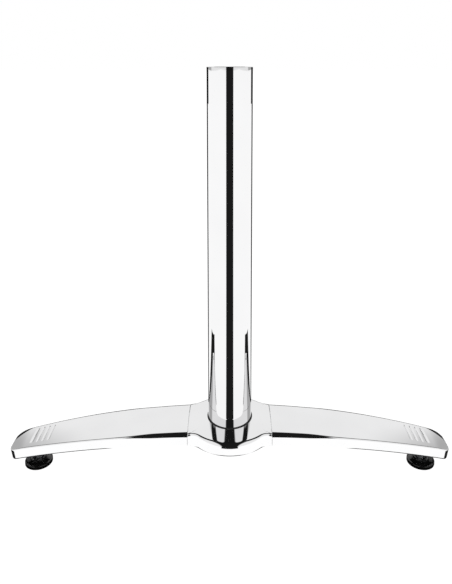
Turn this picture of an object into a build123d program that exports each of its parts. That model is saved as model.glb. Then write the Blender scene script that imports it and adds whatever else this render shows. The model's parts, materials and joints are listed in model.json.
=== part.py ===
from build123d import *
import math
import os

# Two-leg pedestal base: a round column socketed in a cast hub, with two cast legs that are
# tongued and screwed to the hub, and one screw glide under each leg's tip.
# Millimetres. The floor is Z = 0, the column stands on the Z axis, the legs run along X.

# Column
COLUMN_R = 30.0
COLUMN_WALL = 2.0
COLUMN_FOOT_Z = 60.0
COLUMN_TOP_Z = 557.5
MOUTH_R = 28.5
MOUTH_DEPTH = 14.0
RIM_CHAMFER = 0.4
UPPER_DISC_THICK = 6.0
LOWER_DISC_LIFT = 4.0
LOWER_DISC_THICK = 8.0
M10_HOLE_R = 5.0

# Outer form shared by the hub and the legs
RIDGE_Z = 72.7
RIDGE_R = 1264.0
CROWN_R = 150.0
EDGE_Z = 50.0

# Hub
HUB_R = 59.5
HUB_HALF_X = 57.0
HUB_CORNER_R = 19.0
HUB_ROUND = 3.5
HUB_WALL = 5.0
HUB_CEILING_Z = 62.0
HUB_CROWN_R = 290.0
HUB_SECTIONS = 4
SECTION_POINTS = 6
SOCKET_PLAY = 0.2
SOCKET_WALL_R = 35.0
SOCKET_FLOOR_Z = 54.0
LOBE_HALF = 30.0
SEAL_OUTER_R = 31.4
SEAL_BASE_Z = 64.0
SEAL_PROUD = 0.5
RIB = 3.5

# Legs
SEAM_GAP = 0.4
LEG_ROOT_HALF = 37.6
LEG_MID = (170.0, 33.4)
LEG_END = (305.0, 22.3)
LEG_CORNER_R = 12.0
LEG_ROUND = 2.0
UNDER_MID = (170.0, 42.7)
UNDER_END = (306.0, 18.0)
ARCH_SPAN_DEGREES = 16.0
SLAB_DEPTH = 72.0
LEG_WALL = 4.0
LEG_SKIN = 4.5
LEG_END_WALL = 6.0
LEG_RIB_PITCH = 42.0
LEG_RIB_COUNT = 4
BOSS_R = 12.0
TONGUE_HALF = 28.7
TONGUE_REACH = 20.0
TONGUE_Z = (54.0, 59.0)
TONGUE_PLAY = 0.3

# Grip grooves near each leg's tip
GROOVE_COUNT = 4
GROOVE_FIRST_X = 251.5
GROOVE_PITCH = 7.6
GROOVE_R = 1.5
GROOVE_DEPTH = 0.9
GROOVE_HALF = 15.0

# Leg screws, M6, two for each leg
LEG_SCREW_X = 46.5
LEG_SCREW_Y = 18.0
LEG_SCREW_R = 3.0
LEG_SCREW_LENGTH = 12.0
LEG_SCREW_HEAD_R = 5.2
LEG_SCREW_HEAD = 3.3
LEG_SCREW_DOME = 2.3
LEG_SCREW_KEY = 4.0
LEG_SCREW_KEY_DEPTH = 2.0
LEG_WASHER_R = 6.2
LEG_WASHER = 1.6

# Clamp bolt, M10
CLAMP_LENGTH = 35.0
CLAMP_HEAD_FLATS = 16.0
CLAMP_HEAD = 6.4
CLAMP_WASHER_R = 10.0
CLAMP_WASHER = 2.0
CLAMP_SPRING_R = 8.1
CLAMP_SPRING = 2.2
CLAMP_SLIT = 1.2
THREAD_PLAY = 0.05

# Screw glides, M8
GLIDE_X = 271.0
SPOT_FACE_Z = 23.0
INSERT_R = 6.0
INSERT_TOP_Z = 36.0
STUD_HOLE_TOP_Z = 38.2
STUD_R = 3.95
STUD_HOLE_R = 4.0
STUD_TOP_Z = 33.5
STUD_CHAMFER = 0.6
STUD_HEX_FLATS = 13.0
STUD_HEX_Z = (10.3, 15.0)
STUD_NECK_R = 5.0
STUD_FLANGE_R = 8.0
STUD_FLANGE_Z = (4.5, 7.0)
PAD_R = 19.0
PAD_FOOT_R = 17.6
PAD_FOOT_Z = 0.8
PAD_TOP_R = 11.0
PAD_TOP_Z = 10.0
PAD_RIM_Z = (2.6, 6.2)
PAD_EDGE = 1.2
PAD_GAP = 0.3
SOLE_R = 16.6
SOLE_TOP_Z = 2.0
SOLE_EDGE = 0.5

# Lengths for cutters that only need to clear the casting
PAST = 1.0
CLOSE = 0.01
ABOVE = 120.0
SIDES = {"left": -1, "right": 1}


def rod(radius, low, high, x=0.0, y=0.0):
    """Upright cylinder between two heights."""
    disc = Cylinder(radius, high - low, align=(Align.CENTER, Align.CENTER, Align.MIN))
    return Pos(x, y, low) * disc


def ring(outer, inner, low, high, x=0.0, y=0.0):
    """Upright ring between two heights."""
    return rod(outer, low, high, x, y) - rod(inner, low - PAST, high + PAST, x, y)


def block(x_range, y_range, z_range):
    """Box between two corners."""
    size = [high - low for low, high in (x_range, y_range, z_range)]
    middle = [(high + low) / 2 for low, high in (x_range, y_range, z_range)]
    return Pos(*middle) * Box(*size)


def hexagon(flats, low, high, x=0.0):
    """Upright hexagonal prism, given across its flats."""
    face = RegularPolygon(flats / 2, 6, major_radius=False)
    return Pos(x, 0, low) * extrude(face, amount=high - low)


def turned(points):
    """Solid of revolution about Z from (radius, height) points of its half section."""
    section = make_face(Plane.XZ * Polyline(*points, close=True))
    return revolve(section, Axis.Z)


def ridge_z(x):
    """Height of the top surface along the middle of the legs and hub."""
    return RIDGE_Z - RIDGE_R + math.sqrt(RIDGE_R ** 2 - x ** 2)


# Column

def column_tube():
    """Tube with its mouth bored out to a shoulder, just above the upper disc."""
    tube = rod(COLUMN_R, COLUMN_FOOT_Z, COLUMN_TOP_Z)
    tube = chamfer(tube.edges().sort_by(Axis.Z)[-1], RIM_CHAMFER)
    tube -= rod(COLUMN_R - COLUMN_WALL, 0, ABOVE + COLUMN_TOP_Z)
    return tube - rod(MOUTH_R, COLUMN_TOP_Z - MOUTH_DEPTH, ABOVE + COLUMN_TOP_Z)


def column_disc(low, thick):
    """Disc welded inside the tube, tapped M10 in the middle."""
    return ring(COLUMN_R - COLUMN_WALL, M10_HOLE_R, low, low + thick)


# Hub

def hub_top_z(x, y):
    """Top surface of the hub: the legs' crown at its ends, easing to a flatter crown in the middle."""
    end_share = (x / HUB_HALF_X) ** 4
    end_crown = CROWN_R - math.sqrt(CROWN_R ** 2 - y ** 2)
    middle_crown = HUB_CROWN_R - math.sqrt(HUB_CROWN_R ** 2 - y ** 2)
    return ridge_z(x) - middle_crown - end_share * (end_crown - middle_crown)


def hub_form(raised=0.0):
    """Block under the hub's smooth top surface, wider than the hub."""
    half_y = HUB_R + 2 * PAST
    sections = []
    for i in range(-HUB_SECTIONS, HUB_SECTIONS + 1):
        x = i * HUB_HALF_X / HUB_SECTIONS
        rows = [j * half_y / SECTION_POINTS for j in range(-SECTION_POINTS, SECTION_POINTS + 1)]
        top = Spline(*[Vector(x, y, hub_top_z(x, y) + raised) for y in rows])
        base = Polyline((x, half_y, top.position_at(1).Z), (x, half_y, EDGE_Z),
                        (x, -half_y, EDGE_Z), (x, -half_y, top.position_at(0).Z))
        sections.append(make_face(Curve() + [top, base]))
    return loft(sections)


def hub_plan(inset=0.0):
    """Round boss joined to the two leg roots by concave corners."""
    half_y = LEG_ROOT_HALF - inset
    bar = Rectangle(2 * HUB_HALF_X, 2 * half_y)
    plan = Circle(HUB_R - inset) + bar
    plan = plan & Rectangle(2 * HUB_HALF_X, 3 * HUB_R)
    corners = [v for v in plan.vertices() if abs(v.X) < HUB_HALF_X - PAST]
    return fillet(corners, HUB_CORNER_R)


def hub_casting():
    outline = Pos(0, 0, EDGE_Z) * extrude(hub_plan(), amount=ABOVE)
    body = hub_form() & outline
    crest = body.faces().sort_by(Axis.Z)[-1]
    body = fillet([e for e in crest.edges() if not end_edge(e)], HUB_ROUND)
    inner = extrude(hub_plan(HUB_WALL), amount=HUB_CEILING_Z)
    middle = block((-LOBE_HALF, LOBE_HALF), (-HUB_R, HUB_R), (0, HUB_CEILING_Z))
    lobes = (inner & middle) - rod(SOCKET_WALL_R, 0, ABOVE)
    lobes -= block((-RIB / 2, RIB / 2), (-HUB_R, HUB_R), (0, ABOVE))
    body -= lobes
    pocket_x = HUB_HALF_X - TONGUE_REACH - 2 * TONGUE_PLAY
    pocket_y = TONGUE_HALF + TONGUE_PLAY
    for side in SIDES.values():
        reach = sorted((side * pocket_x, side * (HUB_HALF_X + PAST)))
        body -= block(reach, (-pocket_y, pocket_y), (0, TONGUE_Z[1]))
        for y in (-LEG_SCREW_Y, LEG_SCREW_Y):
            tip = screw_seat_z() + LEG_SCREW_LENGTH + TONGUE_PLAY
            body -= rod(LEG_SCREW_R, TONGUE_Z[1] - PAST, tip, side * LEG_SCREW_X, y)
    body -= rod(SOCKET_WALL_R - HUB_WALL, 0, SOCKET_FLOOR_Z)
    body -= rod(COLUMN_R + SOCKET_PLAY, COLUMN_FOOT_Z, ABOVE)
    body -= rod(SEAL_OUTER_R, SEAL_BASE_Z, ABOVE)
    body -= rod(M10_HOLE_R + SOCKET_PLAY, 0, ABOVE)
    return body


def end_edge(edge):
    """Whether an edge lies in one of the hub's flat end faces."""
    return all(abs(abs(edge.position_at(t).X) - HUB_HALF_X) < CLOSE for t in (0, 0.5, 1))


def column_seal():
    """Rubber ring round the column, its top edge following the hub."""
    sleeve = ring(SEAL_OUTER_R, COLUMN_R, SEAL_BASE_Z, ABOVE)
    return sleeve & hub_form(SEAL_PROUD)


# Legs, modelled along +X and mirrored for the left side

def crowned_slab(lowered=0.0):
    """Curved bar with a crowned top that follows the legs' arch."""
    half = LEG_ROOT_HALF + 4 * PAST
    ridge = RIDGE_Z - lowered
    edge = ridge - (CROWN_R - math.sqrt(CROWN_R ** 2 - half ** 2))
    crown = ThreePointArc((0, -half, edge), (0, 0, ridge), (0, half, edge))
    foot = ridge - SLAB_DEPTH
    sides = Polyline((0, half, edge), (0, half, foot), (0, -half, foot), (0, -half, edge))
    section = make_face(Curve() + [crown, sides])
    arch_axis = Axis((0, 0, RIDGE_Z - RIDGE_R), (0, 1, 0))
    return revolve(section, arch_axis, revolution_arc=ARCH_SPAN_DEGREES)


def leg_plan(start, inset=0.0):
    """Tapering plan with a blunt end and rounded corners."""
    root = (start, LEG_ROOT_HALF - inset)
    mid = (LEG_MID[0], LEG_MID[1] - inset)
    end = (LEG_END[0] - inset, LEG_END[1] - inset)
    near = ThreePointArc((root[0], -root[1]), (mid[0], -mid[1]), (end[0], -end[1]))
    nose = Line((end[0], -end[1]), end)
    far = ThreePointArc(end, mid, root)
    back = Line(root, (root[0], -root[1]))
    plan = make_face(Curve() + [near, nose, far, back])
    corners = [v for v in plan.vertices() if v.X > end[0] - PAST]
    return fillet(corners, LEG_CORNER_R - inset)


def under_arch():
    """Space above the legs' arched lower edge."""
    start = (HUB_HALF_X, EDGE_Z)
    tip_x = UNDER_END[0] + 4 * PAST
    arch = ThreePointArc(start, UNDER_MID, UNDER_END)
    frame = Polyline(UNDER_END, (tip_x, UNDER_END[1]), (tip_x, ABOVE), (HUB_HALF_X, ABOVE), start)
    face = make_face(Curve() + [arch, frame])
    return extrude(Plane.XZ * face, amount=ABOVE, both=True)


def groove(x):
    """Round-bottomed bead across the crown, to be cut from the top."""
    radius = CROWN_R + GROOVE_R - GROOVE_DEPTH
    hoop = Pos(0, 0, RIDGE_Z - CROWN_R) * Rot(0, 90, 0) * Torus(radius, GROOVE_R)
    bead = hoop & block((-ABOVE, ABOVE), (-GROOVE_HALF, GROOVE_HALF), (0, ABOVE))
    end_z = RIDGE_Z - CROWN_R + math.sqrt(radius ** 2 - GROOVE_HALF ** 2)
    for y in (-GROOVE_HALF, GROOVE_HALF):
        bead += Pos(0, y, end_z) * Sphere(GROOVE_R)
    arch_axis = Axis((0, 0, RIDGE_Z - RIDGE_R), (0, 1, 0))
    return bead.rotate(arch_axis, math.degrees(math.asin(x / RIDGE_R)))


def leg_hollow():
    """Open underside, split into cells by one long rib, cross ribs and the glide boss."""
    start = HUB_HALF_X + LEG_END_WALL
    hollow = extrude(leg_plan(start, LEG_WALL), amount=ABOVE) & crowned_slab(LEG_SKIN)
    hollow -= block((0, LEG_END[0] + ABOVE), (-RIB / 2, RIB / 2), (0, ABOVE))
    for i in range(LEG_RIB_COUNT):
        x = start + (i + 1) * LEG_RIB_PITCH
        hollow -= block((x - RIB / 2, x + RIB / 2), (-ABOVE, ABOVE), (0, ABOVE))
    return hollow - rod(BOSS_R, 0, ABOVE, GLIDE_X)


def right_leg():
    start = HUB_HALF_X + SEAM_GAP
    body = extrude(leg_plan(start), amount=ABOVE) & crowned_slab() & under_arch()
    crest = body.faces().filter_by(GeomType.TORUS).sort_by(SortBy.AREA)[-1]
    body = fillet([e for e in crest.edges() if e.center().X > start + PAST], LEG_ROUND)
    for i in range(GROOVE_COUNT):
        body -= groove(GROOVE_FIRST_X + i * GROOVE_PITCH)
    body -= leg_hollow()
    tongue = block((HUB_HALF_X - TONGUE_REACH, start + LEG_END_WALL),
                   (-TONGUE_HALF, TONGUE_HALF), TONGUE_Z)
    body += tongue
    for y in (-LEG_SCREW_Y, LEG_SCREW_Y):
        body -= rod(LEG_SCREW_R + TONGUE_PLAY, 0, ABOVE, LEG_SCREW_X, y)
    body -= rod(BOSS_R + PAST, 0, SPOT_FACE_Z, GLIDE_X)
    body -= rod(INSERT_R, 0, INSERT_TOP_Z, GLIDE_X)
    body -= rod(STUD_HOLE_R + SOCKET_PLAY, 0, STUD_HOLE_TOP_Z, GLIDE_X)
    return body


# Fasteners

def screw_seat_z():
    """Height of the leg screws' heads' upper faces."""
    return TONGUE_Z[0] - LEG_WASHER


def leg_screw(x, y):
    """Button-head screw, head down, with its hexagonal key socket."""
    seat = screw_seat_z()
    crown_z = seat - LEG_SCREW_HEAD
    head = rod(LEG_SCREW_HEAD_R, crown_z, seat)
    head = fillet(head.edges().sort_by(Axis.Z)[0], LEG_SCREW_DOME)
    head -= hexagon(LEG_SCREW_KEY, crown_z - PAST, crown_z + LEG_SCREW_KEY_DEPTH)
    shank = rod(LEG_SCREW_R - THREAD_PLAY, seat, seat + LEG_SCREW_LENGTH)
    return Pos(x, y, 0) * (head + shank)


def leg_washer(x, y):
    seat = screw_seat_z()
    return ring(LEG_WASHER_R, LEG_SCREW_R + SOCKET_PLAY, seat, TONGUE_Z[0], x, y)


def pair(make, side):
    """One leg's two fasteners."""
    places = [(side * LEG_SCREW_X, y) for y in (-LEG_SCREW_Y, LEG_SCREW_Y)]
    return Compound(children=[make(x, y) for x, y in places])


def clamp_stack():
    """Clamp bolt and its two washers, from the underside of the hub's socket floor down."""
    washer_z = SOCKET_FLOOR_Z - CLAMP_WASHER
    spring_z = washer_z - CLAMP_SPRING
    washer = ring(CLAMP_WASHER_R, M10_HOLE_R + SOCKET_PLAY, washer_z, SOCKET_FLOOR_Z)
    spring = ring(CLAMP_SPRING_R, M10_HOLE_R + SOCKET_PLAY, spring_z, washer_z)
    slit = block((0, CLAMP_WASHER_R), (-CLAMP_SLIT / 2, CLAMP_SLIT / 2), (spring_z - PAST, SOCKET_FLOOR_Z))
    bolt = hexagon(CLAMP_HEAD_FLATS, spring_z - CLAMP_HEAD, spring_z)
    bolt += rod(M10_HOLE_R - THREAD_PLAY, spring_z, spring_z + CLAMP_LENGTH)
    return {"clamp_washer": washer, "clamp_spring_washer": spring - slit, "clamp_bolt": bolt}


# Glides, modelled under the right leg

def glide_insert():
    """Threaded bush pressed into the leg's boss."""
    return ring(INSERT_R, STUD_HOLE_R, SPOT_FACE_Z, INSERT_TOP_Z, GLIDE_X)


def glide_stud():
    """Screw with a hexagon for the spanner and a flange held inside the pad."""
    neck_low, neck_high = STUD_FLANGE_Z[1], STUD_HEX_Z[0]
    stud = rod(STUD_FLANGE_R, *STUD_FLANGE_Z, GLIDE_X)
    stud += rod(STUD_NECK_R, neck_low, neck_high, GLIDE_X)
    stud += hexagon(STUD_HEX_FLATS, *STUD_HEX_Z, GLIDE_X)
    stud += rod(STUD_R, STUD_HEX_Z[1], STUD_TOP_Z, GLIDE_X)
    return chamfer(stud.edges().sort_by(Axis.Z)[-1], STUD_CHAMFER)


def glide_pad():
    """Moulded foot with a cavity for the stud's flange and a recess for the sole."""
    outer = turned([(0, PAD_FOOT_Z), (PAD_FOOT_R, PAD_FOOT_Z), (PAD_R, PAD_RIM_Z[0]),
                    (PAD_R, PAD_RIM_Z[1]), (PAD_TOP_R, PAD_TOP_Z), (0, PAD_TOP_Z)])
    edges = [e for e in outer.edges().filter_by(GeomType.CIRCLE) if e.radius > PAD_R - CLOSE]
    outer = fillet(edges, PAD_EDGE)
    cavity = rod(STUD_FLANGE_R + PAD_GAP, STUD_FLANGE_Z[0] - PAD_GAP, STUD_FLANGE_Z[1] + PAD_GAP)
    throat = rod(STUD_NECK_R + THREAD_PLAY, STUD_FLANGE_Z[1], PAD_TOP_Z + PAST)
    recess = rod(SOLE_R, 0, SOLE_TOP_Z)
    return Pos(GLIDE_X, 0, 0) * (outer - cavity - throat - recess)


def glide_sole():
    """Rubber disc glued into the pad, which meets the floor."""
    sole = rod(SOLE_R, 0, SOLE_TOP_Z)
    sole = chamfer(sole.edges().sort_by(Axis.Z)[0], SOLE_EDGE)
    return Pos(GLIDE_X, 0, 0) * sole


def both_sides(name, shape):
    """The right-hand piece and its mirror image."""
    return {"right_" + name: shape, "left_" + name: mirror(shape, Plane.YZ)}


def build():
    upper_z = COLUMN_TOP_Z - MOUTH_DEPTH - UPPER_DISC_THICK
    nodes = {
        "column_tube": column_tube(),
        "column_upper_disc": column_disc(upper_z, UPPER_DISC_THICK),
        "column_lower_disc": column_disc(COLUMN_FOOT_Z + LOWER_DISC_LIFT, LOWER_DISC_THICK),
        "column_seal": column_seal(),
        "hub_casting": hub_casting(),
    }
    nodes.update(clamp_stack())
    nodes.update(both_sides("leg", right_leg()))
    nodes.update(both_sides("glide_insert", glide_insert()))
    nodes.update(both_sides("glide_stud", glide_stud()))
    nodes.update(both_sides("glide_pad", glide_pad()))
    nodes.update(both_sides("glide_sole", glide_sole()))
    for name, side in SIDES.items():
        nodes[name + "_leg_screws"] = pair(leg_screw, side)
        nodes[name + "_leg_washers"] = pair(leg_washer, side)
    return nodes


os.makedirs("parts", exist_ok=True)
for node, shape in build().items():
    export_step(shape, "parts/" + node + ".step")
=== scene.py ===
import json
import math

import bmesh
import bpy
import numpy as np
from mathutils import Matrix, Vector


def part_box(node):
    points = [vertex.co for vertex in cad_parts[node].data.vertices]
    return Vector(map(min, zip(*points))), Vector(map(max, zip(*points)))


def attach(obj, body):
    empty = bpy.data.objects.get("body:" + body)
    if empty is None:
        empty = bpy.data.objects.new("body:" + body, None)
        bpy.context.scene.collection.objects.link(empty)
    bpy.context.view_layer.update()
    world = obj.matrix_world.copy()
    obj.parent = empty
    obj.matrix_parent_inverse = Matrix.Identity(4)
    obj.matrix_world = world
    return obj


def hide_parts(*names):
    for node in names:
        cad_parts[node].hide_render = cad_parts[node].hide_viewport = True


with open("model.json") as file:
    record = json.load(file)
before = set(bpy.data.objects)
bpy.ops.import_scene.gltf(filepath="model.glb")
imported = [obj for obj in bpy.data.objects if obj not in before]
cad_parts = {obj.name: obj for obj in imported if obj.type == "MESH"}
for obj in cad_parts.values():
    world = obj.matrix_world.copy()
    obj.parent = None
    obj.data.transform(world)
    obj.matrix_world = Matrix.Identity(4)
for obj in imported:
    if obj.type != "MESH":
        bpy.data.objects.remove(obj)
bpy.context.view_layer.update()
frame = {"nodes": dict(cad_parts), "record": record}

# Two-leg pedestal base: fine polished castings, chromed column and screw glides over the CAD frame.
# Shapes are worked out in millimetres in the CAD's frame and scaled to metres as they are made.
MM = 0.001

# Shared outer form
RIDGE_Z = 72.7
RIDGE_R = 1264.0
CROWN_R = 150.0
EDGE_Z = 50.0
LIP_ROUND = 1.8
WALL_ROWS = (0.03, 0.35, 0.7, 0.97, 1.0)

# Legs
ROOT_X = 57.4
ROOT_HALF = 37.6
LEG_MID = (170.0, 33.4)
LEG_END = (305.0, 22.3)
CORNER_R = 12.0
NOSE_X = 281.0
ARCH = ((57.0, 50.0), (170.0, 42.7), (306.0, 18.0))
FAN_X = 200.0
LEG_WALL = 4.0
LEG_SKIN = 4.5
END_WALL = 6.0
ROOT_ROUND = 5.4
TIP_ROUND = 2.0
ROUND_FADE = (100.0, 145.0)
DROOP_X = 284.0
DROOP = 2.2
NOSE_DRAFT = 0.22
TONGUE = ((37.0, 64.0), (-28.7, 28.7), (54.0, 59.0))
RIB = 3.5
RIB_PITCH = 42.0
RIB_COUNT = 4
BOSS = ((6.02, 38.0), (6.02, 23.7), (6.7, 23.0), (11.4, 23.0), (12.0, 23.6), (12.7, 38.0))

# Steps of the leg's mesh: along the outline from root to tip, and across from spine to ceiling
SOLID_STEPS = 4
SIDE_STEPS = 72
GROOVE_STEPS = 84
AFTER_STEPS = 10
CORNER_STEPS = 19
END_STEPS = 13
TOP_STEPS = 22
EDGE_STEPS = 9
CEILING_STEPS = 7
ROOT_STEPS = 10
PLATE_STEPS = 25

# Grip grooves
GROOVE_XS = [251.5 + 7.6 * i for i in range(4)]
GROOVE_HALF = 15.0
GROOVE_WIDTH = 1.8
GROOVE_DEPTH = 0.9

# Hub
HUB_R = 59.5
HUB_HALF_X = 57.0
HUB_CORNER_R = 19.0
HUB_CROWN_R = 290.0
HUB_SIDE_ROUND = 3.2
HUB_FRONT_ROUND = 6.2
HUB_WALL = 5.0
SEAM_WALL = 3.0
SEAM_ROUND = 0.4
HUB_INNER = ((35.0, 62.0), (35.4, 51.0), (34.9, 50.5), (30.5, 50.5), (30.0, 51.0), (30.0, 54.0), (5.2, 54.0))
HUB_SOCKET = ((5.2, 60.0), (30.2, 60.0), (30.2, 64.0), (31.4, 64.0))
CEILING_Z = 62.0

# Column
COLUMN_SECTION = ((30.0, 60.5), (30.0, 557.1), (29.6, 557.5), (28.8, 557.5), (28.5, 557.2), (28.5, 543.5),
                  (28.0, 543.4), (28.0, 60.5), (28.4, 60.0), (29.6, 60.0))
COLUMN_SEGMENTS = 256

# Glides
GLIDE_X = 271.0
THREAD_PITCH = 1.25
THREAD_R = (3.32, 3.95)
HEX_HALF = 6.5
HEX_CORNER = 7.2


# Geometry helpers

def arc_through(first, middle, last):
    """Centre and radius of the circle through three points."""
    (ax, ay), (bx, by), (cx, cy) = first, middle, last
    twice = 2 * (ax * (by - cy) + bx * (cy - ay) + cx * (ay - by))
    a, b, c = ax * ax + ay * ay, bx * bx + by * by, cx * cx + cy * cy
    x = (a * (by - cy) + b * (cy - ay) + c * (ay - by)) / twice
    y = (a * (cx - bx) + b * (ax - cx) + c * (bx - ax)) / twice
    return x, y, math.hypot(ax - x, ay - y)


def smooth(value, low, high):
    """0 below low, 1 above high, and a smooth step between."""
    share = np.clip((value - low) / (high - low), 0, 1)
    return share * share * (3 - 2 * share)


def crown(y, radius=CROWN_R):
    """How far a crowned top has fallen at y."""
    return radius - np.sqrt(radius ** 2 - y ** 2)


def finish_mesh(name, shells, side=1, sharp=35):
    """One object from (vertices in mm, faces) shells, mirrored to the left where side is -1."""
    bm = bmesh.new()
    for points, faces in shells:
        verts = [bm.verts.new((side * x * MM, y * MM, z * MM)) for x, y, z in points]
        for face in faces:
            ring = [verts[i] for i in dict.fromkeys(face)]
            if len(ring) > 2:
                bm.faces.new(ring)
    bmesh.ops.remove_doubles(bm, verts=bm.verts, dist=2e-6)
    bmesh.ops.dissolve_degenerate(bm, edges=bm.edges, dist=1e-7)
    bmesh.ops.recalc_face_normals(bm, faces=bm.faces)
    mesh = bpy.data.meshes.new(name)
    bm.to_mesh(mesh)
    bm.free()
    mesh.shade_smooth()
    mesh.set_sharp_from_angle(angle=math.radians(sharp))
    piece = bpy.data.objects.new(name, mesh)
    bpy.context.scene.collection.objects.link(piece)
    return piece


def grid_faces(rows, columns, closed_rows=False, closed_columns=False):
    """Quads of a rows x columns grid of points stored row by row."""
    faces = []
    for i in range(rows if closed_rows else rows - 1):
        for j in range(columns if closed_columns else columns - 1):
            k, m = (i + 1) % rows, (j + 1) % columns
            faces.append((i * columns + j, i * columns + m, k * columns + m, k * columns + j))
    return faces


def spun(section, segments, middle=(0.0, 0.0)):
    """Closed shell of revolution from (radius or radius of angle, height) pairs that close on themselves."""
    angles = np.linspace(0, 2 * math.pi, segments, endpoint=False)
    middle_x, middle_y = middle
    points = []
    for radius, z in section:
        reach = radius(angles, z) if callable(radius) else np.full(segments, radius)
        points += [(middle_x + r * math.cos(a), middle_y + r * math.sin(a), z) for r, a in zip(reach, angles)]
    return points, grid_faces(len(section), segments, closed_rows=True, closed_columns=True)


def rounded_block(x_range, y_range, z_range, bevel):
    """Box with bevelled edges, as a shell."""
    bm = bmesh.new()
    bmesh.ops.create_cube(bm, size=1.0)
    ranges = (x_range, y_range, z_range)
    for vert in bm.verts:
        vert.co = [sum(r) / 2 + c * (r[1] - r[0]) for r, c in zip(ranges, vert.co)]
    bmesh.ops.bevel(bm, geom=bm.edges, offset=bevel, segments=3, profile=0.5, affect="EDGES")
    bm.verts.index_update()
    shell = [tuple(v.co) for v in bm.verts], [tuple(v.index for v in f.verts) for f in bm.faces]
    bm.free()
    return shell


# Leg casting, made along +X

SIDE_CX, SIDE_CY, SIDE_R = arc_through((ROOT_X, ROOT_HALF), LEG_MID, LEG_END)
ARCH_CX, ARCH_CY, ARCH_R = arc_through(*ARCH)
CORNER_X = LEG_END[0] - CORNER_R
CORNER_Y = SIDE_CY + math.sqrt((SIDE_R - CORNER_R) ** 2 - (CORNER_X - SIDE_CX) ** 2)
CORNER_TURN = math.atan2(CORNER_Y - SIDE_CY, CORNER_X - SIDE_CX)
SIDE_END_X = SIDE_CX + SIDE_R * math.cos(CORNER_TURN)
INNER_X = ROOT_X + END_WALL


def arch_z(x):
    """Height of the leg's lower edge."""
    return ARCH_CY + np.sqrt(ARCH_R ** 2 - (x - ARCH_CX) ** 2)


def side_y(x):
    """Half width of the leg."""
    return SIDE_CY + math.sqrt(SIDE_R ** 2 - (x - SIDE_CX) ** 2)


def leg_top(x, y):
    """Crowned and arched top, drooping at the nose, with the grooves pressed in."""
    z = RIDGE_Z - RIDGE_R + np.sqrt((RIDGE_R - crown(y)) ** 2 - x ** 2)
    z = z - DROOP * (np.clip(x - DROOP_X, 0, None) / 20) ** 2
    for groove_x in GROOVE_XS:
        away = np.hypot(x - groove_x, np.clip(np.abs(y) - GROOVE_HALF, 0, None))
        z = z - GROOVE_DEPTH * np.cos(np.clip(away / GROOVE_WIDTH, 0, 1) * math.pi / 2) ** 2
    return z


def leg_stations():
    """(outline point, spine point, nose share, hollow) from the near root round the nose to the far root."""
    grooves_from, grooves_to = GROOVE_XS[0] - 3, GROOVE_XS[-1] + 3
    xs = list(np.linspace(ROOT_X, INNER_X, SOLID_STEPS))
    xs += list(np.linspace(INNER_X, grooves_from, SIDE_STEPS))
    xs += list(np.linspace(grooves_from, grooves_to, GROOVE_STEPS))[1:]
    xs += list(np.linspace(grooves_to, SIDE_END_X, AFTER_STEPS))[1:]
    near = []
    for i, x in enumerate(xs):
        spine = x - (SIDE_END_X - NOSE_X) * max(0, (x - FAN_X) / (SIDE_END_X - FAN_X)) ** 2
        near.append(((x, -side_y(x)), (spine, 0.0), 0.0, i >= SOLID_STEPS))
    for turn in np.linspace(CORNER_TURN, 0, CORNER_STEPS)[1:]:
        point = (CORNER_X + CORNER_R * math.cos(turn), -CORNER_Y - CORNER_R * math.sin(turn))
        near.append((point, (NOSE_X, 0.0), math.cos(turn) ** 2, True))
    end_ys = np.linspace(-CORNER_Y, CORNER_Y, END_STEPS)[1:-1]
    end = [((LEG_END[0], y), (NOSE_X, 0.0), 1.0, True) for y in end_ys]
    far = [((x, -y), s, share, hollow) for (x, y), s, share, hollow in reversed(near)]
    return near + end + far


def leg_column(point, spine, nose_share, hollow):
    """One station's points: spine, top, rolling edge, side, lip, then the cavity or the solid root."""
    point, spine = np.array(point), np.array(spine)
    length = np.linalg.norm(spine - point)
    inward = (spine - point) / length
    radius = ROOT_ROUND + (TIP_ROUND - ROOT_ROUND) * smooth(point[0], *ROUND_FADE)

    def top(s):
        x, y = point + inward * s
        return float(leg_top(x, y))

    slope = math.atan((top(radius + 0.5) - top(radius)) / 0.5)
    centre_z = top(radius) - radius / math.cos(slope)
    low = float(arch_z(point[0]))
    rows = [(s, top(s)) for s in np.linspace(length, radius * (1 - math.sin(slope)), TOP_STEPS)]
    for angle in np.linspace(math.pi / 2 - slope, 0, EDGE_STEPS)[1:]:
        rows.append((radius * (1 - math.cos(angle)), centre_z + radius * math.sin(angle)))
    draft = NOSE_DRAFT * nose_share
    for share in WALL_ROWS:
        z = centre_z + (low + LIP_ROUND - centre_z) * share
        rows.append((draft * (centre_z - z), z))
    base = draft * (centre_z - low)
    rows += [(base + LIP_ROUND * 0.3, low + LIP_ROUND * 0.3), (base + LIP_ROUND, low), (base + LEG_WALL, low)]
    start = base + LEG_WALL
    if hollow:
        corner_z = top(start) - LEG_SKIN
        rows += [(start, (low + corner_z) / 2), (start + 0.1, corner_z - 1.0)]
        rows += [(s, top(s) - LEG_SKIN) for s in np.linspace(start + 1, length, CEILING_STEPS)]
    else:
        rows += [(s, low) for s in np.linspace(start, length, ROOT_STEPS)[1:]]
    return [(*(point + inward * s), z) for s, z in rows]


def plate(start, end, below_skin=4.0, above_arch=0.5):
    """Rib on edge from the underside of the skin down to the arch."""
    start, end = np.array(start), np.array(end)
    along = (end - start) / np.linalg.norm(end - start)
    across = np.array((-along[1], along[0])) * RIB / 2
    points = []
    for share in np.linspace(0, 1, PLATE_STEPS):
        x, y = start + (end - start) * share
        high, low = float(leg_top(x, y)) - below_skin, float(arch_z(x)) + above_arch
        for sign, z in ((-1, high), (1, high), (1, low), (-1, low)):
            points.append((x + sign * across[0], y + sign * across[1], z))
    faces = grid_faces(PLATE_STEPS, 4, closed_columns=True)
    last = 4 * (PLATE_STEPS - 1)
    return points, faces + [(0, 1, 2, 3), (last, last + 1, last + 2, last + 3)]


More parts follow.
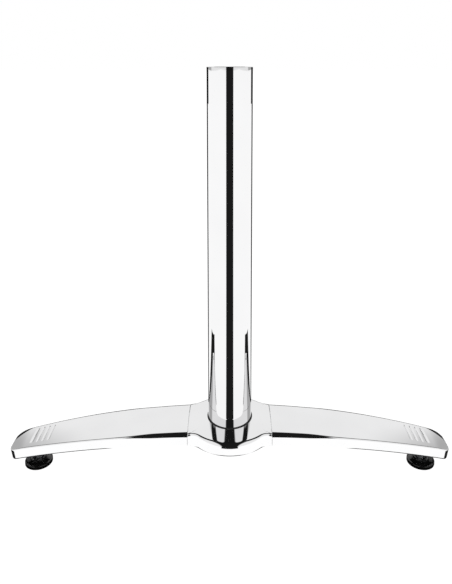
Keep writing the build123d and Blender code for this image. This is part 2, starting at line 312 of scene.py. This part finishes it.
def leg_shells():
    columns = [leg_column(*station) for station in leg_stations()]
    count = len(columns[0])
    points = [p for column in columns for p in column]
    faces = grid_faces(len(columns), count)
    last = (len(columns) - 1) * count
    faces.append(tuple(range(count)) + tuple(last + i for i in reversed(range(1, count - 1))))
    shells = [(points, faces), rounded_block(*TONGUE, 0.8)]
    shells.append(plate((INNER_X - 1, 0), (GLIDE_X - BOSS[3][0], 0)))
    for i in range(RIB_COUNT):
        x = INNER_X + (i + 1) * RIB_PITCH
        shells.append(plate((x, -side_y(x) + 3), (x, side_y(x) - 3)))
    shells.append(spun(BOSS, 72, (GLIDE_X, 0.0)))
    return shells


# Hub casting

def hub_side():
    """Points along the hub's far side from +X to -X, past its ends, with steps of about 0.3 mm."""
    corner_y = ROOT_HALF + HUB_CORNER_R
    corner_x = math.sqrt((HUB_R + HUB_CORNER_R) ** 2 - corner_y ** 2)
    meet_x = corner_x * HUB_R / (HUB_R + HUB_CORNER_R)
    xs = HUB_HALF_X * 1.15 * np.cos(np.linspace(0, math.pi, 700))
    reach = np.abs(xs)
    round_part = np.sqrt(np.clip(HUB_R ** 2 - xs ** 2, 0, None))
    hollow_part = corner_y - np.sqrt(np.clip(HUB_CORNER_R ** 2 - (reach - corner_x) ** 2, 0, None))
    ys = np.where(reach < meet_x, round_part, np.where(reach < corner_x, hollow_part, ROOT_HALF))
    return xs, ys


SIDE_XS, SIDE_YS = hub_side()


def hub_crest(x, y):
    """Top of the hub before its edge is rounded."""
    ridge = RIDGE_Z - RIDGE_R + np.sqrt(RIDGE_R ** 2 - x ** 2)
    middle_crown = crown(y, HUB_CROWN_R)
    return ridge - middle_crown - (x / HUB_HALF_X) ** 4 * (crown(y) - middle_crown)


def hub_top(x, y):
    """Top of the hub with a ball of changing radius rolled along its near and far edges."""
    away = np.hypot(SIDE_XS - x, SIDE_YS - abs(y))
    nearest = int(np.argmin(away))
    edge = np.array((SIDE_XS[nearest], SIDE_YS[nearest]))
    ahead = min(nearest + 1, len(SIDE_XS) - 1)
    tangent = np.array((SIDE_XS[ahead] - SIDE_XS[ahead - 1], SIDE_YS[ahead] - SIDE_YS[ahead - 1]))
    inward = np.array((-tangent[1], tangent[0])) / np.linalg.norm(tangent)
    inward = inward if inward[1] < 0 else -inward
    depth = max(0.0, float((np.array((x, abs(y))) - edge) @ inward))
    share = min(1.0, abs(edge[0]) / HUB_HALF_X)
    radius = HUB_FRONT_ROUND + (HUB_SIDE_ROUND - HUB_FRONT_ROUND) * float(smooth(share, 0.1, 0.95))
    inside = edge + inward * radius
    deeper = edge + inward * (radius + 0.5)
    inside_z = float(hub_crest(*inside))
    slope = math.atan((float(hub_crest(*deeper)) - inside_z) / 0.5)
    if depth >= radius * (1 - math.sin(slope)):
        return float(hub_crest(x, y))
    return inside_z - radius / math.cos(slope) + math.sqrt(radius ** 2 - (radius - depth) ** 2)


def hub_stations():
    """(outline point, share of straight-in reach, on a seam) once round the hub."""
    side = [(x, y) for x, y in zip(SIDE_XS[::4], SIDE_YS[::4]) if abs(x) < HUB_HALF_X]
    side = [(HUB_HALF_X, ROOT_HALF)] + side + [(-HUB_HALF_X, ROOT_HALF)]
    steps = [HUB_SIDE_ROUND * (1 - math.cos(a)) for a in np.linspace(0, math.pi / 2, 7)[1:]]
    seam = [ROOT_HALF - s for s in steps]
    seam += list(np.linspace(seam[-1], 0, 16))[1:]
    seam += [-y for y in reversed(seam[:-1])]
    stations = [(p, False) for p in side]
    stations += [((-HUB_HALF_X, y), True) for y in seam]
    stations += [((-x, -y), False) for x, y in side]
    return stations + [((HUB_HALF_X, -y), True) for y in seam]


def hub_column(point, on_seam):
    """One ray's points: down the outside, under the lip, round the socket boss and back up to the top."""
    point = np.array(point)
    length = np.linalg.norm(point)
    inward = -point / length
    rounding = SEAM_ROUND if on_seam else HUB_FRONT_ROUND
    bore = HUB_SOCKET[-1][0]
    fine = [rounding * 1.3 * (1 - math.cos(a)) for a in np.linspace(0, math.pi / 2, 12)]
    steps = fine + list(np.linspace(fine[-1], length - bore, 16))[1:]
    tops = []
    for s in steps:
        z = hub_top(*(point + inward * s))
        if on_seam:
            z -= SEAM_ROUND - math.sqrt(SEAM_ROUND ** 2 - max(0.0, SEAM_ROUND - s) ** 2)
        tops.append((length - s, z))
    high = tops[0][1]
    wall = SEAM_WALL if on_seam else HUB_WALL
    rows = tops[::-1] + [(length, high + (EDGE_Z + LIP_ROUND - high) * t) for t in WALL_ROWS]
    rows += [(length - LIP_ROUND * 0.3, EDGE_Z + LIP_ROUND * 0.3), (length - LIP_ROUND, EDGE_Z)]
    rows += [(length - wall, EDGE_Z), (length - wall - 0.3, EDGE_Z + 6), (length - wall - 0.6, CEILING_Z - 1)]
    rows += [(length - wall - 1.6, CEILING_Z)]
    rows += list(HUB_INNER) + list(HUB_SOCKET[:-1]) + [HUB_SOCKET[-1]]
    return [(*(-inward * reach), z) for reach, z in rows]


def hub_shells():
    columns = [hub_column(*station) for station in hub_stations()]
    points = [p for column in columns for p in column]
    return [(points, grid_faces(len(columns), len(columns[0]), closed_rows=True, closed_columns=True))]


# Glides, made under the right leg

def hexagonal(corner):
    """Radius of a hexagon with its corners turned off."""
    def radius(angles, z):
        off = (angles + math.pi / 6) % (math.pi / 3) - math.pi / 6
        return np.minimum(HEX_HALF / np.cos(off), corner)
    return radius


def threaded(angles, z):
    """Radius of a right-hand thread at one height."""
    turn = (z / THREAD_PITCH - angles / (2 * math.pi)) % 1.0
    flank = np.clip(np.abs(turn - 0.5) * 2.6 - 0.15, 0, 1)
    return THREAD_R[1] - (THREAD_R[1] - THREAD_R[0]) * flank


def stud_shell():
    section = [(0.01, 4.5), (7.7, 4.5), (8.0, 4.8), (8.0, 6.7), (7.7, 7.0)]
    section += [(5.0, 7.0), (5.0, 10.3), (6.3, 10.3)]
    section += [(hexagonal(6.9), 10.5), (hexagonal(HEX_CORNER), 10.8), (hexagonal(HEX_CORNER), 14.5)]
    section += [(hexagonal(6.9), 14.8), (6.3, 15.0), (4.4, 15.0), (THREAD_R[0], 15.3)]
    section += [(threaded, z) for z in np.arange(15.5, 32.9, THREAD_PITCH / 10)]
    section += [(THREAD_R[0], 33.2), (2.9, 33.5), (0.01, 33.5)]
    return spun(section, 72, (GLIDE_X, 0.0))


def arc_points(middle, radius, start, end, count):
    """Points of a rounded corner, angles in degrees."""
    turns = np.radians(np.linspace(start, end, count))
    return [(middle[0] + radius * math.cos(a), middle[1] + radius * math.sin(a)) for a in turns]


def pad_shell():
    """Moulded pad: recess for the sole, rolled rim, dished cone with a step, collar round the stud's neck."""
    section = [(16.6, 2.0), (16.6, 0.8), (17.3, 0.8)]
    section += arc_points((17.7, 2.1), 1.3, -90, 0, 7)
    section += arc_points((17.7, 5.2), 1.3, 0, 70, 7)
    section += [(17.2, 6.25), (16.4, 6.15), (15.6, 6.5), (14.0, 7.35), (12.8, 8.2), (11.9, 9.1)]
    section += arc_points((10.6, 9.2), 0.8, 10, 90, 6)
    section += [(6.3, 10.0), (5.9, 9.8), (5.2, 9.4), (5.05, 7.3)]
    section += [(8.3, 7.3), (8.3, 4.2), (0.01, 4.2), (0.01, 2.0)]
    return spun(section, 128, (GLIDE_X, 0.0))


def sole_shell():
    """Rubber disc with two tread grooves in its face."""
    section = [(0.01, 0.0), (5.0, 0.0), (5.3, 0.5), (6.3, 0.5), (6.6, 0.0)]
    section += [(10.6, 0.0), (10.9, 0.5), (11.9, 0.5), (12.2, 0.0)]
    section += [(16.1, 0.0), (16.6, 0.5), (16.6, 2.0), (0.01, 2.0)]
    return spun(section, 96, (GLIDE_X, 0.0))


# Materials

def shader(name, color, roughness, metallic=0.0):
    """Principled material, and its node tree and shader for more detail."""
    material = bpy.data.materials.new(name)
    material.use_nodes = True
    tree = material.node_tree
    principled = tree.nodes["Principled BSDF"]
    principled.inputs["Base Color"].default_value = (*color, 1)
    principled.inputs["Roughness"].default_value = roughness
    principled.inputs["Metallic"].default_value = metallic
    return material, tree, principled


def noise(tree, scale, detail=4.0, stretch=(1, 1, 1)):
    """Noise over the piece's own coordinates, in cycles per metre."""
    place = tree.nodes.new("ShaderNodeTexCoord")
    mapping = tree.nodes.new("ShaderNodeMapping")
    mapping.inputs["Scale"].default_value = stretch
    texture = tree.nodes.new("ShaderNodeTexNoise")
    texture.inputs["Scale"].default_value = scale
    texture.inputs["Detail"].default_value = detail
    tree.links.new(place.outputs["Object"], mapping.inputs["Vector"])
    tree.links.new(mapping.outputs["Vector"], texture.inputs["Vector"])
    return texture.outputs["Fac"]


def spread(tree, value, low, high):
    """A noise mapped to a range of numbers."""
    ramp = tree.nodes.new("ShaderNodeMapRange")
    ramp.inputs["From Min"].default_value = 0.3
    ramp.inputs["From Max"].default_value = 0.7
    ramp.inputs["To Min"].default_value = low
    ramp.inputs["To Max"].default_value = high
    tree.links.new(value, ramp.inputs["Value"])
    return ramp.outputs["Result"]


def tinted(tree, value, dark, light):
    """A noise mapped between two colours."""
    ramp = tree.nodes.new("ShaderNodeValToRGB")
    ramp.color_ramp.elements[0].position = 0.35
    ramp.color_ramp.elements[0].color = (*dark, 1)
    ramp.color_ramp.elements[1].position = 0.65
    ramp.color_ramp.elements[1].color = (*light, 1)
    tree.links.new(value, ramp.inputs["Fac"])
    return ramp.outputs["Color"]


def bump(tree, principled, value, strength, depth):
    """Relief of a depth in metres."""
    node = tree.nodes.new("ShaderNodeBump")
    node.inputs["Strength"].default_value = strength
    node.inputs["Distance"].default_value = depth
    tree.links.new(value, node.inputs["Height"])
    tree.links.new(node.outputs["Normal"], principled.inputs["Normal"])


def metal(name, dark, light, scale, roughness, grain, grain_depth, stretch=(1, 1, 1)):
    """Metal whose colour, gloss and fine grain vary over the surface."""
    material, tree, principled = shader(name, light, roughness[0], 1.0)
    tree.links.new(tinted(tree, noise(tree, scale), dark, light), principled.inputs["Base Color"])
    gloss = spread(tree, noise(tree, scale * 3, 6.0, stretch), *roughness)
    tree.links.new(gloss, principled.inputs["Roughness"])
    bump(tree, principled, noise(tree, grain, 3.0, stretch), 0.15, grain_depth)
    return material


def mirror_metal(name, dark, light, scale, roughness):
    """Metal polished to a mirror, with faint cloudiness but no relief."""
    material, tree, principled = shader(name, light, roughness[0], 1.0)
    tree.links.new(tinted(tree, noise(tree, scale, 2.0), dark, light), principled.inputs["Base Color"])
    tree.links.new(spread(tree, noise(tree, scale * 6, 5.0), *roughness), principled.inputs["Roughness"])
    return material


def moulded(name, color, roughness, grain, depth):
    """Moulded plastic or rubber with a fine skin."""
    material, tree, principled = shader(name, color, roughness[0])
    lighter = tuple(c * 1.5 for c in color)
    tree.links.new(tinted(tree, noise(tree, 60), color, lighter), principled.inputs["Base Color"])
    tree.links.new(spread(tree, noise(tree, 300), *roughness), principled.inputs["Roughness"])
    bump(tree, principled, noise(tree, grain), 0.3, depth)
    return material


MATERIALS = {
    "chromed_tube": mirror_metal("chrome", (0.86, 0.86, 0.865), (0.88, 0.88, 0.885), 12, (0.01, 0.025)),
    "polished_casting": mirror_metal("polished_aluminium", (0.92, 0.92, 0.925), (0.945, 0.945, 0.95), 18,
                                     (0.015, 0.04)),
    "plain_steel": metal("turned_steel", (0.42, 0.42, 0.43), (0.58, 0.58, 0.59), 40, (0.3, 0.45), 900, 1e-4,
                         (1, 1, 0.1)),
    "zinc_steel": metal("zinc_plate", (0.58, 0.6, 0.64), (0.7, 0.71, 0.74), 90, (0.2, 0.35), 1500, 5e-5),
    "brass_insert": metal("turned_brass", (0.62, 0.47, 0.22), (0.78, 0.62, 0.33), 70, (0.22, 0.35),
                          1200, 5e-5, (1, 1, 8)),
    "seal_rubber": moulded("seal_rubber", (0.012, 0.012, 0.012), (0.5, 0.65), 1500, 5e-5),
    "black_nylon": moulded("black_nylon", (0.006, 0.006, 0.006), (0.1, 0.14), 700, 1e-6),
    "black_rubber": moulded("black_rubber", (0.02, 0.02, 0.02), (0.6, 0.75), 1800, 8e-5),
}


def dress(piece, slot):
    piece.data.materials.clear()
    piece.data.materials.append(MATERIALS[slot])
    return piece


# Pieces

def add(name, shells, node, slot, body="root", side=1, sharp=35):
    """Make a piece that stands for a CAD node and rides on its body."""
    piece = dress(finish_mesh(name, shells, side, sharp), slot)
    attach(piece, body)
    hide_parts(node)


def build_pieces():
    for subpart in frame["record"]["subparts"]:
        node = frame["nodes"][subpart["node"]]
        dress(node, subpart["material_slot"])
        node.data.shade_smooth()
        node.data.set_sharp_from_angle(angle=math.radians(30))
    add("column", [spun(COLUMN_SECTION, COLUMN_SEGMENTS)], "column_tube", "chromed_tube", sharp=20)
    add("hub", hub_shells(), "hub_casting", "polished_casting")
    leg, stud, pad, sole = leg_shells(), stud_shell(), pad_shell(), sole_shell()
    for name, side in (("left", -1), ("right", 1)):
        add(name + "_leg_shell", leg, name + "_leg", "polished_casting", side=side)
        add(name + "_stud", [stud], name + "_glide_stud", "zinc_steel", name + "_screw", side, 25)
        add(name + "_pad", [pad], name + "_glide_pad", "black_nylon", name + "_foot", side)
        add(name + "_sole", [sole], name + "_glide_sole", "black_rubber", name + "_foot", side)


# Stage: white floor, dark cards that only the reflections see (the one under the base is painted shade), and
# a studio sky

FLOOR_GLOW = 1.07
CARD_DARK = 0.012
CARD_LIFT = 0.0004
FLOOR_REACH = 60.0
FRONT_HALF = 17.8
FRONT_START = 0.157
BACK_HALF = 39.0
BACK_START = 0.1
WALL_DISTANCE = 8.0
WALL_HALF = 48
WALL_LOW = 0.78
WALL_HIGH = 0.82
SKY_AHEAD = (-0.02, 0.03)
SKY_ASIDE = (0.38, 0.62)
SKY_GLOW = 0.86
SKY_SIDE_GLOW = 0.42
SKY_DARK = 0.01
SKY_TILT = 0.577
STRIP_EDGE = (0.27, 0.35)
OVERHEAD_EDGE = (0.7, 0.8)
OVERHEAD_BACK = (-0.12, -0.04)
SIDE_FADE_Y = (0.15, 0.3)
# Outline of the dark sheet under the hub and legs: painted shade for the floor beneath the base, which the
# self-lit floor cannot darken; only reflections see it.
UNDER_SHADE_CARD = ((0.0, 0.1), (0.025, 0.095), (0.05, 0.048), (0.08, 0.043), (0.165, 0.04), (0.185, 0.066),
              (0.3, 0.043), (0.45, 0.043), (0.45, -0.14), (0.0, -0.14))


def glow(name, value):
    material = bpy.data.materials.new(name)
    material.use_nodes = True
    tree = material.node_tree
    tree.nodes.clear()
    emission = tree.nodes.new("ShaderNodeEmission")
    emission.inputs["Color"].default_value = (value, value, value, 1)
    output = tree.nodes.new("ShaderNodeOutputMaterial")
    tree.links.new(emission.outputs["Emission"], output.inputs["Surface"])
    return material


def card(name, points, faces, material, seen=False):
    mesh = bpy.data.meshes.new(name)
    mesh.from_pydata(points, [], faces)
    mesh.materials.append(material)
    obj = bpy.data.objects.new(name, mesh)
    bpy.context.scene.collection.objects.link(obj)
    obj.visible_camera = seen


def wedge(name, start, half_degrees, direction, material):
    """Floor card that opens from the column's axis."""
    spread_out = math.tan(math.radians(half_degrees))
    points = [(sign * reach * spread_out, direction * reach, CARD_LIFT)
              for reach, sign in ((start, 1), (FLOOR_REACH, 1), (FLOOR_REACH, -1), (start, -1))]
    card(name, points, [tuple(range(len(points)))], material)


def back_wall(material):
    """Low dark wall behind, higher to its sides, for the far edges' outlines."""
    points = []
    for degrees in np.linspace(-WALL_HALF, WALL_HALF, WALL_HALF + 1):
        angle = math.radians(float(degrees))
        high = WALL_LOW + (WALL_HIGH - WALL_LOW) * float(smooth(abs(degrees), 12, 30))
        x, y = WALL_DISTANCE * math.sin(angle), WALL_DISTANCE * math.cos(angle)
        points += [(x, y, 0.0), (x, y, high)]
    card("back_wall", points, [(2 * i, 2 * i + 1, 2 * i + 3, 2 * i + 2) for i in range(WALL_HALF)], material)


def math_node(tree, operation, *values):
    node = tree.nodes.new("ShaderNodeMath")
    node.operation = operation
    for socket, value in zip(node.inputs, values):
        if isinstance(value, (int, float)):
            socket.default_value = value
        else:
            tree.links.new(value, socket)
    return node.outputs["Value"]


def ranged(tree, value, from_low, from_high, to_low, to_high):
    node = tree.nodes.new("ShaderNodeMapRange")
    node.interpolation_type = "SMOOTHSTEP"
    sockets = ("From Min", "From Max", "To Min", "To Max")
    for name, number in zip(sockets, (from_low, from_high, to_low, to_high)):
        node.inputs[name].default_value = number
    tree.links.new(value, node.inputs["Value"])
    return node.outputs["Result"]


def studio_sky():
    """Soft grey sky, dark in a strip overhead and behind the viewer; plain white where it is seen."""
    world = bpy.data.worlds.new("studio")
    bpy.context.scene.world = world
    world.use_nodes = True
    tree = world.node_tree
    background = tree.nodes["Background"]
    place = tree.nodes.new("ShaderNodeTexCoord")
    axes = tree.nodes.new("ShaderNodeSeparateXYZ")
    tree.links.new(place.outputs["Generated"], axes.inputs["Vector"])
    x, y, z = axes.outputs
    ahead = math_node(tree, "SUBTRACT", y, math_node(tree, "MULTIPLY", z, SKY_TILT))
    aside = math_node(tree, "ABSOLUTE", x)
    beside_strip = ranged(tree, aside, *STRIP_EDGE, 0.0, 1.0)
    beside_patch = ranged(tree, aside, *OVERHEAD_EDGE, 0.0, 1.0)
    behind_patch = ranged(tree, y, *OVERHEAD_BACK, 1.0, 0.0)
    off_patch = math_node(tree, "MAXIMUM", beside_patch, behind_patch)
    off_dark = math_node(tree, "MINIMUM", beside_strip, off_patch)
    lit = math_node(tree, "MAXIMUM", ranged(tree, ahead, *SKY_AHEAD, 0.0, 1.0), off_dark)
    drop = math_node(tree, "MULTIPLY", ranged(tree, aside, *SKY_ASIDE, 0.0, SKY_GLOW - SKY_SIDE_GLOW),
                     ranged(tree, y, *SIDE_FADE_Y, 0.0, 1.0))
    side = math_node(tree, "SUBTRACT", SKY_GLOW, drop)
    sky = math_node(tree, "ADD", math_node(tree, "MULTIPLY", lit, side), SKY_DARK)
    path = tree.nodes.new("ShaderNodeLightPath")
    seen = math_node(tree, "MAXIMUM", sky, path.outputs["Is Camera Ray"])
    tree.links.new(seen, background.inputs["Color"])


def build_stage():
    reach = FLOOR_REACH
    corners = [(-reach, -reach, 0), (reach, -reach, 0), (reach, reach, 0), (-reach, reach, 0)]
    card("floor", corners, [(0, 1, 2, 3)], glow("floor_white", FLOOR_GLOW), seen=True)
    dark = glow("card_dark", CARD_DARK)
    wedge("front_card", FRONT_START, FRONT_HALF, -1, dark)
    wedge("back_card", BACK_START, BACK_HALF, 1, dark)
    # Dark sheets under each side of the base: painted shade beneath the hub and legs, seen only in the
    # reflections on their lips and walls.
    for side in (-1, 1):
        outline = [(side * x, -front, CARD_LIFT) for x, front in UNDER_SHADE_CARD]
        card("under_shade_card", outline, [tuple(range(len(outline)))], dark)
    back_wall(dark)
    studio_sky()


# Camera: level with the column's rim, looking a little down

CAMERA_DISTANCE = 0.7815
CAMERA_ABOVE_RIM = 0.0020
CAMERA_PITCH = 8.0
CAMERA_LENS = 36.9
CAMERA_SENSOR = 36.0
CAMERA_SHIFT = (-0.0064, -0.2444)


def build_camera():
    rim_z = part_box("column_tube")[1].z
    data = bpy.data.cameras.new("camera")
    data.lens = CAMERA_LENS
    data.sensor_width = CAMERA_SENSOR
    data.shift_x, data.shift_y = CAMERA_SHIFT
    data.clip_start = 0.01
    camera = bpy.data.objects.new("camera", data)
    camera.location = (0, -CAMERA_DISTANCE, rim_z + CAMERA_ABOVE_RIM)
    camera.rotation_euler = (math.radians(90 - CAMERA_PITCH), 0, 0)
    bpy.context.scene.collection.objects.link(camera)
    bpy.context.scene.camera = camera
    bpy.context.scene.view_settings.view_transform = "Standard"


build_pieces()
build_stage()
build_camera()
